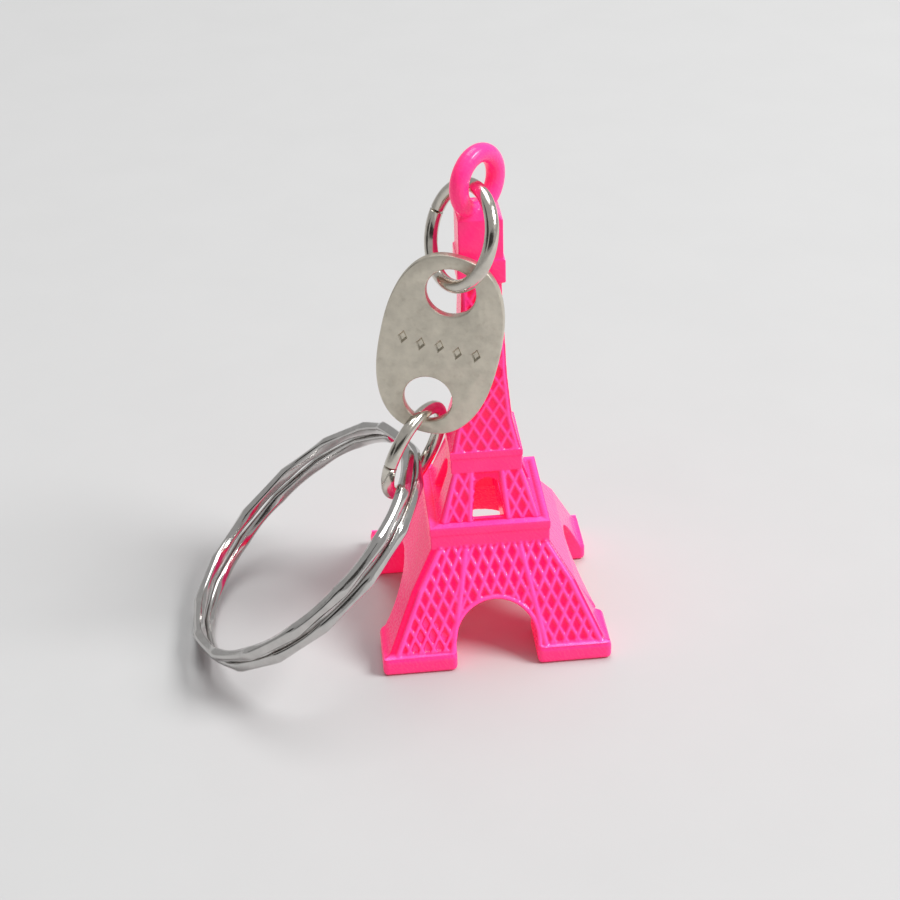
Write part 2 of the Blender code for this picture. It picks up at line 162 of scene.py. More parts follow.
def mottle_group():
    """Two colours mixed by a soft noise."""
    inputs = (("Colour A", (1.0, 1.0, 1.0, 1.0)), ("Colour B", (0.0, 0.0, 0.0, 1.0)), ("Size", 1.0))
    tree, given, out = group_tree("mottle", inputs, (("Colour", "NodeSocketColor"),))
    place = node(tree, "ShaderNodeTexCoord").outputs["Object"]
    scale = per_millimetre(tree, given["Size"])
    links = {"Vector": place, "Scale": scale, "Detail": 4.0, "Roughness": 0.6}
    noise = node(tree, "ShaderNodeTexNoise", links)
    mask = node(tree, "ShaderNodeMapRange", {"Value": noise.outputs[0], "From Min": 0.35, "From Max": 0.65})
    links = {"Factor": mask.outputs[0], 6: given["Colour A"], 7: given["Colour B"]}
    mix = node(tree, "ShaderNodeMix", links, data_type="RGBA")
    tree.links.new(mix.outputs[2], out["Colour"])
    return tree


def grain_group():
    """A fine cast or sprayed grain: a bump height and a roughness that varies with it."""
    inputs = (("Size", 0.3), ("Roughness", 0.4), ("Spread", 0.1), ("Stretch", 1.0))
    outputs = (("Height", "NodeSocketFloat"), ("Roughness", "NodeSocketFloat"))
    tree, given, out = group_tree("grain", inputs, outputs)
    place = node(tree, "ShaderNodeTexCoord").outputs["Object"]
    stretch = node(tree, "ShaderNodeCombineXYZ", {"X": 1.0, "Y": 1.0, "Z": given["Stretch"]})
    turned = node(tree, "ShaderNodeVectorRotate", {"Vector": place, "Angle": 0.6}, rotation_type="Y_AXIS")
    links = {0: turned.outputs[0], 1: stretch.outputs[0]}
    scaled = node(tree, "ShaderNodeVectorMath", links, operation="MULTIPLY")
    scale = per_millimetre(tree, given["Size"])
    links = {"Vector": scaled.outputs[0], "Scale": scale, "Detail": 3.0, "Roughness": 0.55}
    noise = node(tree, "ShaderNodeTexNoise", links)
    links = {0: noise.outputs[0], 1: 0.5}
    centred = node(tree, "ShaderNodeMath", links, operation="SUBTRACT")
    links = {0: centred.outputs[0], 1: given["Spread"], 2: given["Roughness"]}
    rough = node(tree, "ShaderNodeMath", links, operation="MULTIPLY_ADD")
    tree.links.new(noise.outputs[0], out["Height"])
    tree.links.new(rough.outputs[0], out["Roughness"])
    return tree


def scuff_group():
    """Thin scratches in two directions, as a mask and a bump height."""
    inputs = (("Size", 1.0), ("Amount", 0.5))
    outputs = (("Mask", "NodeSocketFloat"), ("Height", "NodeSocketFloat"))
    tree, given, out = group_tree("scuffs", inputs, outputs)
    place = node(tree, "ShaderNodeTexCoord").outputs["Object"]
    scale = per_millimetre(tree, given["Size"])
    total = None
    for angle, squeeze in ((0.5, 0.05), (2.1, 0.08)):
        turned = node(tree, "ShaderNodeMapping", {"Vector": place, "Rotation": (angle, angle / 2, angle)})
        turned.inputs["Scale"].default_value = (1.0, squeeze, 1.0)
        links = {"Vector": turned.outputs[0], "Scale": scale, "Detail": 2.0}
        noise = node(tree, "ShaderNodeTexNoise", links)
        links = {"Value": noise.outputs[0], "From Min": 0.6, "From Max": 0.68}
        line = node(tree, "ShaderNodeMapRange", links).outputs[0]
        if total is not None:
            line = node(tree, "ShaderNodeMath", {0: total, 1: line}, operation="MAXIMUM").outputs[0]
        total = line
    mask = node(tree, "ShaderNodeMath", {0: total, 1: given["Amount"]}, operation="MULTIPLY")
    height = node(tree, "ShaderNodeMath", {0: 1.0, 1: mask.outputs[0]}, operation="SUBTRACT")
    tree.links.new(mask.outputs[0], out["Mask"])
    tree.links.new(height.outputs[0], out["Height"])
    return tree


def use(tree, name, make, links):
    """The outputs of a new group node. Its node group is made on first use."""
    shared = bpy.data.node_groups.get(name) or make()
    return node(tree, "ShaderNodeGroup", links, node_tree=shared).outputs


# The depth that a bump strength of 1 stands for, and what every material shares
BUMP_DEPTH = 0.02 * MM
COAT_ROUGHNESS, SPECULAR_LEVEL = 0.15, 0.3

# A scratch's size in millimetres and what a full one adds to the roughness
SCUFF_SIZE, SCUFF_ROUGHNESS = 0.5, 0.25


def finish_material(name, colours, mottle_size, grain, bump, metallic=0.0, coat=0.0, scuffs=0.0):
    """A material with mottled colour, grained roughness and bump, and scratches where asked for.

    grain is its size in millimetres, the mean roughness, the roughness's spread and the stretch in z.
    """
    material = bpy.data.materials.new(name)
    material.use_nodes = True
    tree = material.node_tree
    shader = tree.nodes["Principled BSDF"]
    colour_a, colour_b = ((*colour, 1.0) for colour in colours)
    links = {"Colour A": colour_a, "Colour B": colour_b, "Size": mottle_size}
    tone = use(tree, "mottle", mottle_group, links)
    size, roughness, spread, stretch = grain
    links = {"Size": size, "Roughness": roughness, "Spread": spread, "Stretch": stretch}
    fine = use(tree, "grain", grain_group, links)
    tree.links.new(tone["Colour"], shader.inputs["Base Color"])
    rough, height = fine["Roughness"], fine["Height"]
    if scuffs:
        marks = use(tree, "scuffs", scuff_group, {"Size": SCUFF_SIZE, "Amount": scuffs})
        links = {0: marks["Mask"], 1: SCUFF_ROUGHNESS, 2: rough}
        rough = node(tree, "ShaderNodeMath", links, operation="MULTIPLY_ADD").outputs[0]
        links = {0: height, 1: marks["Height"]}
        height = node(tree, "ShaderNodeMath", links, operation="ADD").outputs[0]
    tree.links.new(rough, shader.inputs["Roughness"])
    links = {"Height": height, "Strength": bump, "Distance": BUMP_DEPTH}
    tree.links.new(node(tree, "ShaderNodeBump", links).outputs[0], shader.inputs["Normal"])
    shader.inputs["Metallic"].default_value = metallic
    shader.inputs["Coat Weight"].default_value = coat
    shader.inputs["Coat Roughness"].default_value = COAT_ROUGHNESS
    shader.inputs["Specular IOR Level"].default_value = SPECULAR_LEVEL
    return material


# ---------------------------------------------------------------- mesh helpers


def piece(name, bm, material, body, smooth_angle=None):
    """The bmesh as a piece that rides a body and replaces the CAD node of the body's name."""
    bmesh.ops.recalc_face_normals(bm, faces=bm.faces)
    mesh = bpy.data.meshes.new(name)
    bm.to_mesh(mesh)
    bm.free()
    return finish_piece(name, mesh, material, body, smooth_angle)


def finish_piece(name, mesh, material, body, smooth_angle=None):
    """The mesh as a piece, smooth but for edges sharper than smooth_angle."""
    mesh.materials.clear()
    mesh.materials.append(material)
    mesh.shade_smooth()
    if smooth_angle:
        mesh.set_sharp_from_angle(angle=smooth_angle)
    obj = bpy.data.objects.new(name, mesh)
    bpy.context.scene.collection.objects.link(obj)
    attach(obj, body)
    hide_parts(body)
    return obj


def frame_from(x_axis, z_axis, origin):
    """A frame whose z is z_axis and whose x is as near x_axis as a right angle allows."""
    z = Vector(z_axis).normalized()
    x = Vector(x_axis)
    x = (x - x.dot(z) * z).normalized()
    return Matrix.Translation(origin) @ Matrix((x, z.cross(x), z)).transposed().to_4x4()


def extrude_end(bm, face, move):
    """Extrudes one face and moves the new end with a matrix. Returns the new end face."""
    inside = any(len(edge.link_faces) > 1 for edge in face.edges)
    new = bmesh.ops.extrude_face_region(bm, geom=[face])["geom"]
    if inside:
        bmesh.ops.delete(bm, geom=[face], context="FACES_ONLY")
    verts = [item for item in new if isinstance(item, bmesh.types.BMVert)]
    bmesh.ops.transform(bm, matrix=move, verts=verts)
    return next(item for item in new if isinstance(item, bmesh.types.BMFace))


def sweep(bm, frames):
    """Sweeps the bmesh's only face, drawn in xy, through these frames."""
    face = bm.faces[:][0]
    bmesh.ops.transform(bm, matrix=frames[0], verts=bm.verts)
    for before, after in zip(frames, frames[1:]):
        face = extrude_end(bm, face, after @ before.inverted())


def evaluated(bm, modifiers):
    """The mesh that the bmesh becomes under these (kind, settings) modifiers."""
    mesh = bpy.data.meshes.new("draft")
    bm.to_mesh(mesh)
    bm.free()
    draft = bpy.data.objects.new("draft", mesh)
    bpy.context.scene.collection.objects.link(draft)
    for kind, settings in modifiers:
        modifier = draft.modifiers.new(kind, kind)
        for key, value in settings.items():
            setattr(modifier, key, value)
    graph = bpy.context.evaluated_depsgraph_get()
    result = bpy.data.meshes.new_from_object(draft.evaluated_get(graph))
    bpy.data.objects.remove(draft)
    bpy.data.meshes.remove(mesh)
    return result


# ---------------------------------------------------------------- tower


def add_bar(bm, start, end, radius):
    """A closed eight-sided bar from start to end."""
    along = end - start
    if along.length < 1e-6:
        return
    turn = along.to_track_quat("Z", "Y").to_matrix().to_4x4()
    middle = Matrix.Translation((start + end) / 2)
    bmesh.ops.create_cone(
        bm, cap_ends=True, segments=8, radius1=radius, radius2=radius, depth=along.length + radius / 2,
        matrix=middle @ turn,
    )


def face_point(face, across, height, sink):
    """A point of the front, sunk by this much towards the tower's middle."""
    return Vector((across, sink - polyline(face, height), height))


def add_rib(bm, face, knots, radius, sink=0.0):
    """A rib on the front through (height, across) knots, bent where the front bends."""
    low, high = knots[0][0], knots[-1][0]
    bends = [height for height, _ in face if low < height < high]
    heights = sorted({*bends, *(height for height, _ in knots)})
    points = [face_point(face, polyline(knots, height), height, sink) for height in heights]
    for start, end in zip(points, points[1:]):
        add_bar(bm, start, end, radius)


def spans(inside, line, rise, step=0.05):
    """The stretches that lie inside, of a line given as a function of its share of this rise."""
    start = None
    count = int(rise / step)
    for index in range(count + 1):
        if inside(*line(index / count)):
            start = index if start is None else start
            last = index
        elif start is not None:
            yield line(start / count), line(last / count)
            start = None
    if start is not None:
        yield line(start / count), line(1.0)


def add_lattice(bm, face, inside, pitch, half_rise, lattice_node, radius):
    """Both families of slanting ribs of a diamond lattice, where inside allows them."""
    low, high = face[0][0], face[-1][0]
    reach = face[0][1]
    node_across, node_height = lattice_node
    slope = pitch / 2 / half_rise
    extent = (high - low) * slope
    count = int((2 * reach + 2 * extent) / pitch) + 4
    for lean in (1, -1):
        at_low = node_across - lean * slope * (node_height - low)
        for index in range(-count, count + 1):
            foot = at_low + index * pitch

            def line(share):
                return foot + lean * extent * share, low + (high - low) * share

            for (x0, z0), (x1, z1) in spans(inside, line, high - low):
                if z1 - z0 > SHORTEST_RIB:
                    add_rib(bm, face, ((z0, x0), (z1, x1)), radius)


def add_deck_lip(bm, half, low, high):
    """A slightly proud strip along each side of a deck."""
    size = Matrix.Diagonal((2 * half, LIP_THICKNESS, high - low, 1.0))
    place = Matrix.Translation((0.0, LIP_THICKNESS / 2 - half, (low + high) / 2))
    for turn in range(4):
        side = Matrix.Rotation(turn * math.pi / 2, 4, "Z")
        bmesh.ops.create_cube(bm, size=1.0, matrix=side @ place @ size)


def inner_rib(height):
    """Half the spacing of the lower inner ribs at this height."""
    return INNER_RIB_HALF + INNER_RIB_SPREAD * (INNER_RIB_HEIGHT - height)


def in_lower_lattice(across, height):
    """Whether a point lies between the plinth, the deck, the outer ribs and the arch."""
    from_middle = abs(across - PATTERN_SHIFT)
    outer = polyline(LOWER_FACE, height) - OUTER_RIB_INSET
    if from_middle > outer or not PLINTH_TOP + 0.1 < height < 9.45:
        return False
    if from_middle >= inner_rib(height):
        return True
    arch_share = across / (ARCH_HALF + RIM_ROOM)
    rise_share = max(height - ARCH_SPRING, 0.0) / (ARCH_CROWN - ARCH_SPRING + RIM_ROOM)
    return arch_share ** 2 + rise_share ** 2 >= 1 and height > ARCH_SPRING


def in_upper_lattice(across, height):
    """Whether a point lies on one of the two upper legs, between its ribs."""
    from_middle = abs(across - PATTERN_SHIFT)
    share = (height - UPPER_FACE[0][0]) / (UPPER_FACE[1][0] - UPPER_FACE[0][0])
    inner = UPPER_INNER_FOOT + (UPPER_INNER_TOP - UPPER_INNER_FOOT) * share
    return inner + 0.15 < from_middle < polyline(UPPER_FACE, height) - 0.25


def in_spire_lattice(across, height):
    """Whether a point lies on the spire's front, inside its edge ribs."""
    return abs(across - PATTERN_SHIFT / 2) < polyline(SPIRE_FACE, height) - 0.35


def add_lower_pattern(bm, sizes):
    """The lattice, ribs and arch rim of the front's lower level."""
    rib, edge = sizes.lattice_radius, sizes.edge_radius
    lattice = sizes.lattice_pitch, sizes.lattice_half_rise, LOWER_NODE
    add_lattice(bm, LOWER_FACE, in_lower_lattice, *lattice, rib)
    for side in (-1, 1):
        outer = [(z, PATTERN_SHIFT + side * (half - OUTER_RIB_INSET)) for z, half in LOWER_FACE]
        inner = [(z, PATTERN_SHIFT + side * inner_rib(z)) for z in (PLINTH_TOP, LOWER_FACE[-1][0])]
        for knots in (outer, inner):
            add_rib(bm, LOWER_FACE, knots, edge, SINK_SHARE * edge)
    for ends in FOOT_RIBS:
        start, end = (
            face_point(LOWER_FACE, across, PLINTH_TOP + FOOT_RIB_RISE, FOOT_RIB_SINK) for across in ends
        )
        add_bar(bm, start, end, 0.8 * rib)
    wide, rise = ARCH_HALF + RIM_RADIUS, ARCH_CROWN - ARCH_SPRING + RIM_RADIUS
    angles = [math.pi * (step / RIM_BARS) for step in range(RIM_BARS + 1)]
    outline = [(wide * math.cos(angle), ARCH_SPRING + rise * math.sin(angle)) for angle in angles]
    outline = [(wide, PLINTH_TOP), *outline, (-wide, PLINTH_TOP)]
    points = [face_point(LOWER_FACE, *spot, SINK_SHARE * RIM_RADIUS) for spot in outline]
    for start, end in zip(points, points[1:]):
        add_bar(bm, start, end, RIM_RADIUS)


def add_upper_pattern(bm, sizes):
    """The lattices and ribs of the front above the deck."""
    rib, edge = sizes.lattice_radius, 0.9 * sizes.edge_radius
    add_lattice(bm, UPPER_FACE, in_upper_lattice, *UPPER_LATTICE, rib)
    shift = 0.6 * PATTERN_SHIFT
    feet, tops = zip((DECK_TOP, UPPER_FACE[1][0]), (UPPER_INNER_FOOT, UPPER_INNER_TOP), UPPER_INNER_GAPS)
    for side in (-1, 1):
        insets = zip(UPPER_FACE, UPPER_RIB_INSETS)
        outer = [(z, shift + side * (half - inset)) for (z, half), inset in insets]
        inner = [(z, side * (half + gap)) for z, half, gap in (feet, tops)]
        for knots in (outer, inner):
            add_rib(bm, UPPER_FACE, knots, edge, SINK_SHARE * edge)
    add_lattice(bm, SPIRE_FACE, in_spire_lattice, *SPIRE_LATTICE, 0.9 * rib)
    for side in (-1, 1):
        outer = [(z, side * (half - SPIRE_RIB_INSET)) for z, half in SPIRE_FACE]
        add_rib(bm, SPIRE_FACE, outer, 0.8 * edge, SINK_SHARE * edge)


def tower_copy():
    """The CAD tower's mesh as a closed bmesh, in millimetres from the middle of its base."""
    bm = bmesh.new()
    bm.from_mesh(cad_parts["tower"].data)
    bmesh.ops.translate(bm, verts=bm.verts, vec=-TOWER_MIDDLE)
    bmesh.ops.scale(bm, verts=bm.verts, vec=(1 / MM, 1 / MM, 1 / MM))
    bmesh.ops.remove_doubles(bm, verts=bm.verts, dist=0.001)
    return bm


def cut_level(bm, height, keep_below):
    """Cuts the closed bmesh level at this height, keeps one side and closes the cut."""
    geom = bm.verts[:] + bm.edges[:] + bm.faces[:]
    bmesh.ops.bisect_plane(
        bm, geom=geom, plane_co=(0.0, 0.0, height), plane_no=UP,
        clear_outer=keep_below, clear_inner=not keep_below,
    )
    rim = [edge for edge in bm.edges if len(edge.link_faces) == 1]
    filled = bmesh.ops.triangle_fill(bm, edges=rim, use_beauty=True, use_dissolve=False, normal=UP)["geom"]
    return [item for item in filled if isinstance(item, bmesh.types.BMFace)]


def on_both_fronts(bm, add, sizes):
    """Adds a pattern to the front and, turned half round, to the back."""
    pattern = bmesh.new()
    add(pattern, sizes)
    mesh = bpy.data.meshes.new("pattern")
    pattern.to_mesh(mesh)
    pattern.free()
    for turn in (0.0, math.pi):
        mesh.transform(Matrix.Rotation(turn, 4, "Z"))
        bm.from_mesh(mesh)
    bpy.data.meshes.remove(mesh)


def round_plinth(bm, sizes):
    """Rounds every edge of the plinths."""
    edges = [
        edge for edge in bm.edges
        if max(vert.co.z for vert in edge.verts) < PLINTH_TOP + 0.01
        and len(edge.link_faces) == 2 and edge.calc_face_angle() > 0.6
    ]
    bmesh.ops.bevel(
        bm, geom=edges, offset=sizes.plinth_round, segments=3, profile=0.5, affect="EDGES", material=-1
    )


def mark_ridge_shading(mesh):
    """Writes each vertex's share of a rib's height, or half on plain faces, for the paint's painted shade to
    read: a darker red in the hollows, a lighter pink on the ribs.
    """
    shares = mesh.attributes.new("ridge_shade", "FLOAT", "POINT")
    for vert, share in zip(mesh.vertices, shares.data):
        share.value = PLAIN_SHARE
        for face in (LOWER_FACE, UPPER_FACE, SPIRE_FACE):
            proud = abs(vert.co.y) - polyline(face, vert.co.z)
            if face[0][0] < vert.co.z < face[-1][0] and proud > -FACE_MARGIN:
                share.value = min(max(proud / RIB_REACH, 0.0), 1.0)


def cast_piece(name, bm, sizes, material):
    """The overlapping closed shapes as one cast skin."""
    remesh = {"mode": "VOXEL", "voxel_size": sizes.voxel, "use_smooth_shade": True}
    smooth = {"factor": 0.5, "iterations": sizes.soften}
    thin = {"ratio": 0.33}
    flat = {"mode": "FACE_AREA", "weight": 80}
    steps = (("REMESH", remesh), ("SMOOTH", smooth), ("DECIMATE", thin), ("WEIGHTED_NORMAL", flat))
    mesh = evaluated(bm, steps)
    mark_ridge_shading(mesh)
    mesh.transform(Matrix.Translation(TOWER_MIDDLE) @ Matrix.Scale(MM, 4))
    return finish_piece(name, mesh, material, "tower")


# ---------------------------------------------------------------- sizes and colours


class KeychainTowerSizes(bpy.types.PropertyGroup):
    """Sizes and colours of the cast tower, in millimetres."""

    lattice_pitch: FloatProperty(
        name="Lattice pitch", description="Width of one diamond, mm", default=1.01
    )
    lattice_half_rise: FloatProperty(
        name="Lattice half rise", description="Half a diamond's height, mm", default=0.96
    )
    lattice_radius: FloatProperty(
        name="Lattice rib radius", description="Radius of a lattice rib, mm", default=0.15
    )
    edge_radius: FloatProperty(
        name="Edge rib radius", description="Radius of an edge rib, mm", default=0.24
    )
    plinth_round: FloatProperty(
        name="Plinth rounding", description="Rounding of the plinth's edges, mm", default=0.4
    )
    voxel: FloatProperty(
        name="Skin cell", description="Cell size of the cast skin, mm", default=0.075
    )
    soften: IntProperty(
        name="Softening", description="Smoothing passes over the cast skin", default=2
    )
    paint: FloatVectorProperty(
        name="Paint", description="Main colour of the paint", subtype="COLOR", default=(1.0, 0.09, 0.46)
    )
    # Painted shade: the darker red laid into the pattern's hollows, where shade falls.
    hollow_painted_shade: FloatVectorProperty(
        name="Hollows", description="Colour of the pattern's hollows",
        subtype="COLOR", default=(0.95, 0.008, 0.12),
    )
    # Painted light: the paint glows by itself with this colour and strength, which lifts its shaded faces
    # towards a saturated red.
    painted_glow: FloatVectorProperty(
        name="Glow", description="Colour that the fluorescent paint adds",
        subtype="COLOR", default=(1.0, 0.004, 0.06),
    )
    painted_glow_strength: FloatProperty(
        name="Glow strength", description="Strength of the paint's glow", default=0.36
    )
    paint_deep: FloatVectorProperty(
        name="Deep paint", description="Second colour of the paint",
        subtype="COLOR", default=(1.0, 0.07, 0.42),
    )


class KeychainWireSizes(bpy.types.PropertyGroup):
    """Sizes and colours of the jump rings."""

    wire: FloatProperty(name="Wire", description="Wire diameter", unit="LENGTH", default=1.1 * MM)
    outer: FloatProperty(
        name="Outer diameter", description="Ring's outer diameter", unit="LENGTH", default=9.0 * MM
    )
    slit: FloatProperty(
        name="Slit", description="Gap between the wire's ends", unit="LENGTH", default=0.12 * MM
    )
    slit_angle: FloatProperty(
        name="Slit angle", description="Where the wire's ends meet", subtype="ANGLE", default=math.radians(80)
    )
    metal: FloatVectorProperty(
        name="Metal", description="Main colour", subtype="COLOR", default=(0.70, 0.66, 0.59)
    )


class KeychainTagSizes(bpy.types.PropertyGroup):
    """Sizes and colours of the tag."""

    length: FloatProperty(
        name="Length", description="Tag's length", unit="LENGTH", default=15.9 * MM
    )
    width: FloatProperty(name="Width", description="Tag's width", unit="LENGTH", default=9.7 * MM)
    thickness: FloatProperty(
        name="Thickness", description="Plate's thickness", unit="LENGTH", default=0.8 * MM
    )
    hole: FloatProperty(
        name="Hole", description="Diameter of each hole", unit="LENGTH", default=4.0 * MM
    )
    web: FloatProperty(
        name="Web", description="From a hole to the tag's end", unit="LENGTH", default=1.1 * MM
    )
    squareness: FloatProperty(
        name="Squareness", description="Power of the outline's superellipse", default=2.43
    )
    edge_round: FloatProperty(
        name="Edge rounding", description="Of the outline", unit="LENGTH", default=0.16 * MM
    )
    punch_depth: FloatProperty(
        name="Punch depth", description="Of the lozenges", unit="LENGTH", default=0.18 * MM
    )
    metal: FloatVectorProperty(
        name="Metal", description="Main colour", subtype="COLOR", default=(0.70, 0.65, 0.55)
    )


class KeychainSplitSizes(bpy.types.PropertyGroup):
    """Sizes and colours of the split ring."""

    outer: FloatProperty(
        name="Outer diameter", description="Ring's outer diameter", unit="LENGTH", default=25.0 * MM
    )
    wire_width: FloatProperty(
        name="Wire width", description="Along the radius", unit="LENGTH", default=1.0 * MM
    )
    wire_height: FloatProperty(
        name="Wire height", description="Along the axis", unit="LENGTH", default=1.1 * MM
    )
    turn_gap: FloatProperty(
        name="Turn gap", description="Between the two turns", unit="LENGTH", default=0.1 * MM
    )
    facets: IntProperty(name="Facets", description="Flattened stretches in one turn", default=15)
    facet_depth: FloatProperty(
        name="Facet depth", description="Depth of a stretch", unit="LENGTH", default=0.34 * MM
    )
    metal: FloatVectorProperty(
        name="Metal", description="Main colour", subtype="COLOR", default=(0.60, 0.585, 0.57)
    )


class KeychainStageSettings(bpy.types.PropertyGroup):
    """The floor, the lights and the camera."""

    floor: FloatVectorProperty(
        name="Floor", description="Floor's colour", subtype="COLOR", default=(0.50, 0.50, 0.50)
    )
    sky: FloatProperty(
        name="Surround", description="Strength of the even light from all round", default=0.45
    )
    key: FloatProperty(
        name="Key light", description="Power of the light at the right", unit="POWER", default=11.0
    )
    fill: FloatProperty(
        name="Overhead light", description="Power of the light above", unit="POWER", default=6.0
    )
    lens: FloatProperty(name="Lens", description="Camera's focal length, mm", default=70.45)


# ---------------------------------------------------------------- operators


class KEYCHAIN_OT_tower(bpy.types.Operator):
    """Build the cast and painted tower"""

    bl_idname = "keychain.tower"
    bl_label = "Tower"

    def execute(self, context):
        sizes = context.scene.keychain_tower
        paint = self.make_paint(sizes)
        cut = DECK_TOP + CUT_ABOVE_DECK
        base = tower_copy()
        cut_level(base, cut, keep_below=True)
        round_plinth(base, sizes)
        on_both_fronts(base, add_lower_pattern, sizes)
        add_deck_lip(base, *DECK_LIP)
        cast_piece("tower_base", base, sizes, paint)
        top = tower_copy()
        floor = cut_level(top, cut, keep_below=False)
        sunk = bmesh.ops.extrude_face_region(top, geom=floor)["geom"]
        bmesh.ops.delete(top, geom=floor, context="FACES_ONLY")
        sunk = [item for item in sunk if isinstance(item, bmesh.types.BMVert)]
        bmesh.ops.translate(top, verts=sunk, vec=-UPPER_SKIN_SINK * UP)
        on_both_fronts(top, add_upper_pattern, sizes)
        add_deck_lip(top, *UPPER_DECK_LIP)
        cast_piece("tower_top", top, sizes, paint)
        return {"FINISHED"}

    def make_paint(self, sizes):
        """The pink paint, with painted shade of a darker red in the pattern's hollows and a painted glow that
        lifts its shade.
        """
        colours = (tuple(sizes.paint), tuple(sizes.paint_deep))
        paint = finish_material("pink_paint", colours, 1.6, (0.22, 0.27, 0.14, 0.35), 0.35, coat=0.2)
        tree = paint.node_tree
        shader = tree.nodes["Principled BSDF"]
        mottled = shader.inputs["Base Color"].links[0].from_socket
        # The rib share mixes painted shade into the paint: the hollow colour fully in the hollows, half of it
        # on plain faces, none on the ribs.
        painted_shade_share = node(tree, "ShaderNodeAttribute", attribute_name="ridge_shade").outputs["Fac"]
        links = {"Factor": painted_shade_share, 6: (*sizes.hollow_painted_shade, 1.0), 7: mottled}
        with_painted_shade = node(tree, "ShaderNodeMix", links, data_type="RGBA")
        tree.links.new(with_painted_shade.outputs[2], shader.inputs["Base Color"])
        # Painted light: a self-lit glow over the whole paint that lifts its shade.
        shader.inputs["Emission Color"].default_value = (*sizes.painted_glow, 1.0)
        shader.inputs["Emission Strength"].default_value = sizes.painted_glow_strength
        return paint


# The links' places in metres from the middle of the tower's base: a jump ring's z is its axis, the tag's z
# is out of its face and its y runs along it.
UPPER_RING = frame_from(
    (0.3198, 0.1542, 0.9349), (-0.8421, -0.4060, 0.3550), (-0.001529, -0.001575, 0.036346)
)
LOWER_RING = frame_from(
    (0.1997, -0.1452, 0.9690), (0.7838, -0.5698, -0.2469), (-0.00585, -0.00220, 0.01755)
)
TAG = frame_from(
    (0.936314, -0.279592, -0.212473), (-0.276002, -0.960007, 0.047), (-0.003491, -0.002355, 0.027265)
)

# The split ring: the middle of its wire where the lower jump ring holds it, uphill from there and its axis
SPLIT_HOLD = Vector((-0.006044, -0.001923, 0.01629))
SPLIT_UPHILL, SPLIT_AXIS = Vector((0.7797, -0.0156, 0.6259)), Vector((-0.6258, 0.0125, 0.7799))

# The wire rises from the lower turn to the upper one over the step angle, and its ends lie a small gap away.
# The step is turned to where the lower jump ring and the tag cover it from the front.
SPLIT_STEP_ANGLE, SPLIT_END_GAP = math.radians(24), math.radians(2)
SPLIT_STEP_PLACE = math.radians(36)

# The wire's superellipse power, the most that a stretch leans, and the shift of the second turn's stretches
SPLIT_SQUARENESS, SPLIT_TWIST, SPLIT_TURN_OFFSET = 3.4, math.radians(16), 0.4


class KEYCHAIN_OT_jump_rings(bpy.types.Operator):
    """Build the two jump rings of round wire"""

    bl_idname = "keychain.jump_rings"
    bl_label = "Jump rings"

    def execute(self, context):
        sizes = context.scene.keychain_wire
        main = tuple(sizes.metal)
        colours = (main, tuple(0.86 * part for part in main))
        grain = (0.35, 0.16, 0.12, 1.0)
        metal = finish_material("bright_nickel", colours, 0.8, grain, 0.15, metallic=1.0, scuffs=0.35)
        mean = (sizes.outer - sizes.wire) / 2
        slit = sizes.slit / mean
        steps = 120
        chamfer, chamfer_turn = Matrix.Scale(0.86, 4), 0.06 * MM / mean
        for body, place in (("upper_jump_ring", UPPER_RING), ("lower_jump_ring", LOWER_RING)):
            at = Matrix.Translation(TOWER_MIDDLE) @ place
            bm = bmesh.new()
            bmesh.ops.create_circle(bm, cap_ends=True, segments=24, radius=sizes.wire / 2)
            section = Matrix.Translation((mean, 0.0, 0.0)) @ Matrix.Rotation(math.pi / 2, 4, "X")
            start = sizes.slit_angle + slit / 2
            turns = [start + (2 * math.pi - slit) * step / steps for step in range(steps + 1)]
            # The wire's full thickness starts a chamfer away from each end.
            turns[0] += chamfer_turn
            turns[-1] -= chamfer_turn
            ends = (start, turns[-1] + chamfer_turn)
            frames = [at @ Matrix.Rotation(turn, 4, "Z") @ section for turn in turns]
            first, last = (at @ Matrix.Rotation(turn, 4, "Z") @ section @ chamfer for turn in ends)
            sweep(bm, [first, *frames, last])
            piece(f"{body}_wire", bm, metal, body, math.radians(40))
        return {"FINISHED"}


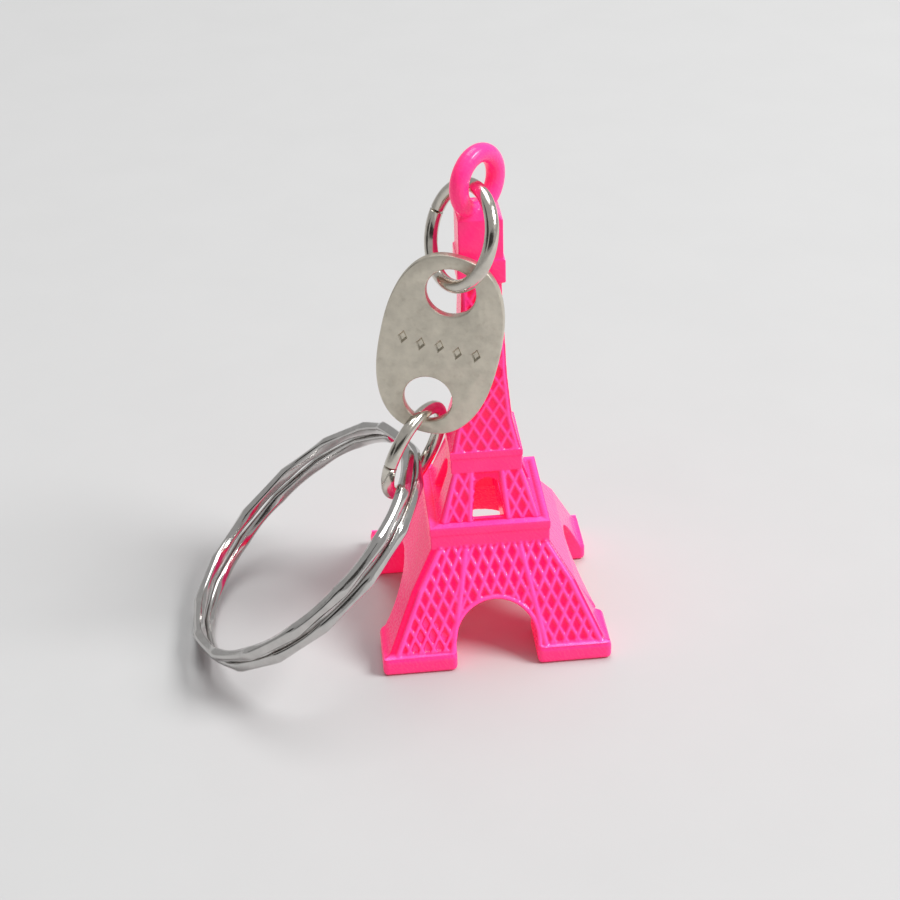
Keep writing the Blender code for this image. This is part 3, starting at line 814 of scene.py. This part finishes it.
class KEYCHAIN_OT_tag(bpy.types.Operator):
    """Build the oval tag with its two holes and the row of punched lozenges"""

    bl_idname = "keychain.tag"
    bl_label = "Tag"

    def execute(self, context):
        sizes = context.scene.keychain_tag
        main = tuple(sizes.metal)
        colours = (main, tuple(0.84 * part for part in main))
        grain = (0.18, 0.4, 0.14, 1.0)
        metal = finish_material("satin_nickel", colours, 1.2, grain, 0.3, metallic=1.0, scuffs=0.5)
        bm = bmesh.new()
        bmesh.ops.create_circle(bm, cap_ends=True, segments=144, radius=1.0)
        power = 2 / sizes.squareness
        for vert in bm.verts:
            angle = math.atan2(vert.co.y, vert.co.x)
            cos, sin = math.cos(angle), math.sin(angle)
            vert.co.x = sizes.width / 2 * math.copysign(abs(cos) ** power, cos)
            vert.co.y = sizes.length / 2 * math.copysign(abs(sin) ** power, sin)
            vert.co.z = -sizes.thickness / 2
        extrude_end(bm, bm.faces[:][0], Matrix.Translation((0.0, 0.0, sizes.thickness)))
        bmesh.ops.recalc_face_normals(bm, faces=bm.faces)
        cutters = bmesh.new()
        offset = sizes.length / 2 - sizes.web - sizes.hole / 2
        for side in (-1, 1):
            bmesh.ops.create_cone(
                cutters, cap_ends=True, segments=64, radius1=sizes.hole / 2, radius2=sizes.hole / 2,
                depth=3 * sizes.thickness, matrix=Matrix.Translation((0.0, side * offset, 0.0)),
            )
        self.add_punches(cutters, sizes)
        mesh = self.without(bm, cutters)
        plate = bmesh.new()
        plate.from_mesh(mesh)
        bpy.data.meshes.remove(mesh)
        bmesh.ops.remove_doubles(plate, verts=plate.verts, dist=0.002 * MM)
        half = sizes.thickness / 2
        rims = [
            edge for edge in plate.edges
            if len(edge.link_faces) == 2 and edge.calc_face_angle() > 1.0
            and all(abs(abs(vert.co.z) - half) < 0.01 * MM for vert in edge.verts)
        ]
        bmesh.ops.bevel(
            plate, geom=rims, offset=sizes.edge_round, segments=3, profile=0.5, affect="EDGES", material=-1
        )
        bmesh.ops.transform(plate, matrix=Matrix.Translation(TOWER_MIDDLE) @ TAG, verts=plate.verts)
        piece("tag_plate", plate, metal, "tag", math.radians(28))
        return {"FINISHED"}

    def add_punches(self, bm, sizes):
        """Five shallow lozenges in a row across the tag's middle."""
        pitch, stagger = 1.5 * MM, 0.1 * MM
        half_size = Matrix.Diagonal((0.42 * MM, 0.62 * MM, 1.0, 1.0))
        for index in range(5):
            middle = ((index - 2) * pitch, stagger * (-1) ** index, sizes.thickness / 2)
            bmesh.ops.create_cone(
                bm, cap_ends=True, segments=4, radius1=0.55, radius2=1.45, depth=2 * sizes.punch_depth,
                matrix=Matrix.Translation(middle) @ half_size,
            )

    def without(self, bm, cutters):
        """The plate less the cutters."""
        mesh = bpy.data.meshes.new("cutters")
        cutters.to_mesh(mesh)
        cutters.free()
        helper = bpy.data.objects.new("cutters", mesh)
        bpy.context.scene.collection.objects.link(helper)
        settings = {"operation": "DIFFERENCE", "solver": "EXACT", "object": helper}
        result = evaluated(bm, (("BOOLEAN", settings),))
        bpy.data.objects.remove(helper)
        bpy.data.meshes.remove(mesh)
        return result


class KEYCHAIN_OT_split_ring(bpy.types.Operator):
    """Build the split ring: two turns of flattened wire"""

    bl_idname = "keychain.split_ring"
    bl_label = "Split ring"

    def execute(self, context):
        sizes = context.scene.keychain_split
        main = tuple(sizes.metal)
        colours = (main, tuple(0.88 * part for part in main))
        metal = finish_material(
            "polished_nickel", colours, 1.0, (0.3, 0.12, 0.12, 1.0), 0.15, metallic=1.0, scuffs=0.3
        )
        mean = (sizes.outer - sizes.wire_width) / 2
        hold = TOWER_MIDDLE + SPLIT_HOLD
        at = frame_from(SPLIT_UPHILL, SPLIT_AXIS, hold - mean * SPLIT_UPHILL.normalized())
        bm = bmesh.new()
        bmesh.ops.create_circle(bm, cap_ends=True, segments=24, radius=1.0)
        for vert in bm.verts:
            power = SPLIT_SQUARENESS
            vert.co /= (abs(vert.co.x) ** power + abs(vert.co.y) ** power) ** (1 / power)
        step_angle, end_gap, start = SPLIT_STEP_ANGLE, SPLIT_END_GAP, SPLIT_STEP_PLACE
        total = 4 * math.pi - step_angle - 2 * end_gap
        steps = 460
        pitch = sizes.wire_height + sizes.turn_gap
        frames = []
        for step in range(steps + 1):
            turned = total * step / steps
            done = 2 * math.pi - end_gap - turned
            rise = pitch * (ease(1 - done / step_angle) - 0.5)
            # Each hammered stretch is thinnest in its middle and leans against the one before it.
            beat = turned * sizes.facets / (2 * math.pi)
            if turned >= 2 * math.pi:
                beat += SPLIT_TURN_OFFSET
            dip = sizes.facet_depth * (1 - (2 * (beat % 1.0) - 1) ** 2)
            twist = SPLIT_TWIST * math.sin(math.pi * beat)
            wide = (sizes.wire_width - 0.5 * dip) / 2
            tall = (sizes.wire_height - 0.6 * dip) / 2
            taper = 0.75 if step in (0, steps) else 1.0
            place = Matrix.Translation((mean - 0.25 * dip, 0.0, rise))
            size = Matrix.Diagonal((wide * taper, tall * taper, 1.0, 1.0))
            turn = Matrix.Rotation(start + turned, 4, "Z")
            upright = Matrix.Rotation(math.pi / 2, 4, "X") @ Matrix.Rotation(twist, 4, "Z")
            frames.append(at @ turn @ place @ upright @ size)
        sweep(bm, frames)
        piece("split_ring_wire", bm, metal, "split_ring", math.radians(50))
        return {"FINISHED"}


# The stage in metres. Cards: name, width and height, place. Lights: name, diameter, place.
CARDS = (
    ("card_front", (0.9, 0.34), (-0.05, -0.62, 0.32)),
    ("card_left", (0.5, 0.26), (-0.62, -0.10, 0.26)),
)
LIGHTS = (("key", 0.45, (0.72, -0.20, 0.75)), ("overhead", 0.70, (0.10, 0.30, 1.10)))
LIT_HEIGHT = 0.015

# The camera's azimuth, tilt and roll, and its place from the middle of the tower's base
CAMERA_TURNS = tuple(math.radians(angle) for angle in (-4.48, 32.46, -1.82))
CAMERA_PLACE = Vector((-0.01248, -0.12415, 0.09510))


class KEYCHAIN_OT_stage(bpy.types.Operator):
    """Set the floor, the lights and the camera"""

    bl_idname = "keychain.stage"
    bl_label = "Stage"

    def execute(self, context):
        settings = context.scene.keychain_stage
        bm = bmesh.new()
        bmesh.ops.create_grid(bm, x_segments=1, y_segments=1, size=3.0)
        mesh = bpy.data.meshes.new("floor")
        bm.to_mesh(mesh)
        bm.free()
        main = tuple(settings.floor)
        colours = (main, tuple(0.985 * part for part in main))
        mesh.materials.append(finish_material("paper", colours, 12.0, (0.4, 0.75, 0.1, 1.0), 0.05))
        floor = bpy.data.objects.new("floor", mesh)
        context.scene.collection.objects.link(floor)
        self.add_cards(context)
        self.add_lights(context, settings)
        self.add_camera(context, settings)
        return {"FINISHED"}

    def add_cards(self, context):
        """Dark cards for the metal to reflect, which the camera doesn't see."""
        colours = ((0.035, 0.032, 0.03), (0.03, 0.028, 0.026))
        paper = finish_material("dark_card", colours, 30.0, (2.0, 0.8, 0.1, 1.0), 0.0)
        for name, (wide, tall), location in CARDS:
            bm = bmesh.new()
            bmesh.ops.create_grid(bm, x_segments=1, y_segments=1, size=0.5)
            bmesh.ops.scale(bm, verts=bm.verts, vec=(wide, tall, 1.0))
            facing = (TOWER_MIDDLE - Vector(location)).to_track_quat("Z", "Y").to_matrix().to_4x4()
            bmesh.ops.transform(bm, matrix=Matrix.Translation(location) @ facing, verts=bm.verts)
            mesh = bpy.data.meshes.new(name)
            bm.to_mesh(mesh)
            bm.free()
            mesh.materials.append(paper)
            card = bpy.data.objects.new(name, mesh)
            context.scene.collection.objects.link(card)
            card.visible_camera = False

    def add_lights(self, context, settings):
        world = bpy.data.worlds.new("studio")
        world.use_nodes = True
        background = world.node_tree.nodes["Background"]
        background.inputs["Color"].default_value = (1.0, 1.0, 1.0, 1.0)
        background.inputs["Strength"].default_value = settings.sky
        context.scene.world = world
        context.scene.view_settings.view_transform = "Standard"
        for (name, size, location), power in zip(LIGHTS, (settings.key, settings.fill)):
            data = bpy.data.lights.new(name, "AREA")
            data.energy, data.shape, data.size = power, "DISK", size
            light = bpy.data.objects.new(name, data)
            context.scene.collection.objects.link(light)
            target = TOWER_MIDDLE + LIT_HEIGHT * UP
            light.location = location
            light.rotation_euler = (target - Vector(location)).to_track_quat("-Z", "Y").to_euler()

    def add_camera(self, context, settings):
        azimuth, tilt, roll = CAMERA_TURNS
        flat = math.cos(tilt)
        back = Vector((math.sin(azimuth) * flat, -math.cos(azimuth) * flat, math.sin(tilt)))
        level = Vector((math.cos(azimuth), math.sin(azimuth), 0.0))
        upright = back.cross(level)
        right = math.cos(roll) * level + math.sin(roll) * upright
        above = -math.sin(roll) * level + math.cos(roll) * upright
        data = bpy.data.cameras.new("camera")
        data.lens, data.sensor_width = settings.lens, 36.0
        camera = bpy.data.objects.new("camera", data)
        turn = Matrix((right, above, back)).transposed().to_4x4()
        camera.matrix_world = Matrix.Translation(TOWER_MIDDLE + CAMERA_PLACE) @ turn
        data.clip_start = 0.01
        context.scene.collection.objects.link(camera)
        context.scene.camera = camera


class KEYCHAIN_PT_panel(bpy.types.Panel):
    """Lists the keychain's builders"""

    bl_label = "Keychain"
    bl_idname = "KEYCHAIN_PT_panel"
    bl_space_type = "VIEW_3D"
    bl_region_type = "UI"
    bl_category = "Keychain"

    def draw(self, context):
        for operator in OPERATORS:
            self.layout.operator(operator.bl_idname)


OPERATORS = (
    KEYCHAIN_OT_tower,
    KEYCHAIN_OT_jump_rings,
    KEYCHAIN_OT_tag,
    KEYCHAIN_OT_split_ring,
    KEYCHAIN_OT_stage,
)
SETTINGS = (
    ("keychain_tower", KeychainTowerSizes),
    ("keychain_wire", KeychainWireSizes),
    ("keychain_tag", KeychainTagSizes),
    ("keychain_split", KeychainSplitSizes),
    ("keychain_stage", KeychainStageSettings),
)


def register():
    for name, group in SETTINGS:
        bpy.utils.register_class(group)
        setattr(bpy.types.Scene, name, PointerProperty(type=group))
    for cls in (*OPERATORS, KEYCHAIN_PT_panel):
        bpy.utils.register_class(cls)


def unregister():
    for cls in (KEYCHAIN_PT_panel, *reversed(OPERATORS)):
        bpy.utils.unregister_class(cls)
    for name, group in reversed(SETTINGS):
        delattr(bpy.types.Scene, name)
        bpy.utils.unregister_class(group)


def main():
    register()
    bpy.ops.keychain.tower()
    bpy.ops.keychain.jump_rings()
    bpy.ops.keychain.tag()
    bpy.ops.keychain.split_ring()
    bpy.ops.keychain.stage()
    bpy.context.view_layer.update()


if __name__ == "__main__":
    main()
